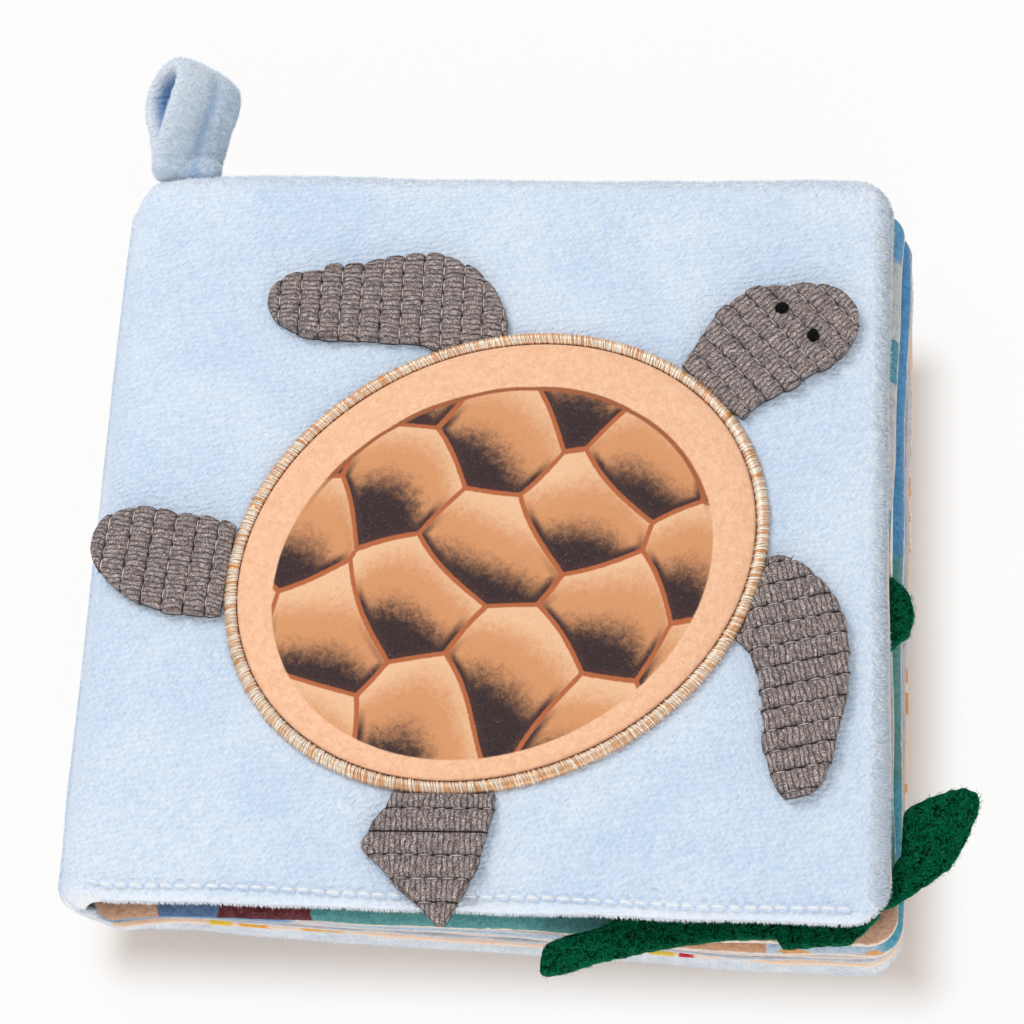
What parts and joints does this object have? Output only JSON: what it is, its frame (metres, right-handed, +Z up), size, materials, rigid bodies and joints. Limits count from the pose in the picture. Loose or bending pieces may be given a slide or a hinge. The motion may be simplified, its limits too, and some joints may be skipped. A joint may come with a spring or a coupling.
{
  "type": "crinkle cloth book",
  "caption": "Square stuffed cloth book with two inner leaves, a padded turtle on its cover, lift-up flippers and a plush hanging loop.",
  "frame": {"origin": "on the flat underside of the back cover, below the middle of the front cover, with the book closed and lying on its back cover", "axes": "+X from the spine to the fore-edge, +Y from the foot of the book to its head, where the hanging loop is, +Z up through the front cover"},
  "size_m": [0.17, 0.1843, 0.0389],
  "materials": {
    "plush_blue": "short pile plush",
    "plush_back": "short pile plush",
    "lining": "matt cloth",
    "wadding": "fleecy wadding",
    "crinkle_film": "thin crackling film",
    "page_teal": "printed cloth",
    "page_blue": "printed cloth",
    "page_maroon": "printed cloth",
    "knit_grey": "ribbed knit",
    "shell_print": "printed short pile",
    "gold_thread": "satin stitched thread",
    "felt": "wool felt",
    "black_thread": "knotted thread"
  },
  "bodies": {
    "back_cover": {"back_cover_outer": "plush_back", "back_cover_wadding": "wadding", "back_cover_film": "crinkle_film", "back_cover_lining": "lining", "spine_outer": "plush_blue", "binding_fold": "lining"},
    "leaf_2": {"leaf_2_front": "page_blue", "leaf_2_wadding": "wadding", "leaf_2_film": "crinkle_film", "leaf_2_back": "page_maroon"},
    "leaf_1": {"leaf_1_front": "page_teal", "leaf_1_wadding": "wadding", "leaf_1_film": "crinkle_film", "leaf_1_back": "page_blue", "seaweed_side": "felt", "seaweed_corner": "felt", "seaweed_foot": "felt"},
    "front_cover": {"front_cover_outer": "plush_blue", "front_cover_wadding": "wadding", "front_cover_film": "crinkle_film", "front_cover_lining": "lining", "shell_padding": "wadding", "shell_patch": "shell_print", "shell_border": "gold_thread"},
    "turtle_head": {"turtle_head": "knit_grey", "eye_left": "black_thread", "eye_right": "black_thread"},
    "front_left_flipper": {"front_left_flipper": "knit_grey"},
    "rear_left_flipper": {"rear_left_flipper": "knit_grey"},
    "front_right_flipper": {"front_right_flipper": "knit_grey"},
    "rear_right_flipper": {"rear_right_flipper": "knit_grey"},
    "hanging_loop": {"hanging_loop": "plush_blue"}
  },
  "joints": [
    {"name": "leaf_2_on_back_cover", "type": "hinge", "parent": "back_cover", "child": "leaf_2", "pos_m": [-0.07295, 0, 0.01555], "axis": [0, -1, 0], "range_deg": [0, 59], "deforming": ["spine_outer"]},
    {"name": "leaf_1_on_leaf_2", "type": "hinge", "parent": "leaf_2", "child": "leaf_1", "pos_m": [-0.07295, 0, 0.01555], "axis": [0, -1, 0], "range_deg": [0, 59], "deforming": ["spine_outer"]},
    {"name": "front_cover_on_leaf_1", "type": "hinge", "parent": "leaf_1", "child": "front_cover", "pos_m": [-0.07295, 0, 0.01555], "axis": [0, -1, 0], "range_deg": [0, 59], "deforming": ["spine_outer"]},
    {"name": "front_left_flipper_lift", "type": "hinge", "parent": "front_cover", "child": "front_left_flipper", "pos_m": [-0.00607, 0.03953, 0.0352], "axis": [-0.9655, -0.2604, 0], "range_deg": [-90, 0]},
    {"name": "turtle_head_lift", "type": "hinge", "parent": "front_cover", "child": "turtle_head", "pos_m": [0.04104, 0.02972, 0.0352], "axis": [-0.7257, 0.688, 0], "range_deg": [-90, 0]},
    {"name": "rear_left_flipper_lift", "type": "hinge", "parent": "front_cover", "child": "rear_left_flipper", "pos_m": [-0.05049, -0.00983, 0.0352], "axis": [-0.0779, -0.997, 0], "range_deg": [-90, 0]},
    {"name": "front_right_flipper_lift", "type": "hinge", "parent": "front_cover", "child": "front_right_flipper", "pos_m": [0.05064, -0.01299, 0.0352], "axis": [0.314, 0.9494, 0], "range_deg": [-90, 0]},
    {"name": "rear_right_flipper_lift", "type": "hinge", "parent": "front_cover", "child": "rear_right_flipper", "pos_m": [-0.00574, -0.05338, 0.0352], "axis": [0.9998, 0.0189, 0], "range_deg": [-90, 0]},
    {"name": "hanging_loop_swing", "type": "hinge", "parent": "front_cover", "child": "hanging_loop", "pos_m": [-0.0663, 0.0778, 0.029], "axis": [-1, 0, 0], "range_deg": [-40, 30]}
  ]
}
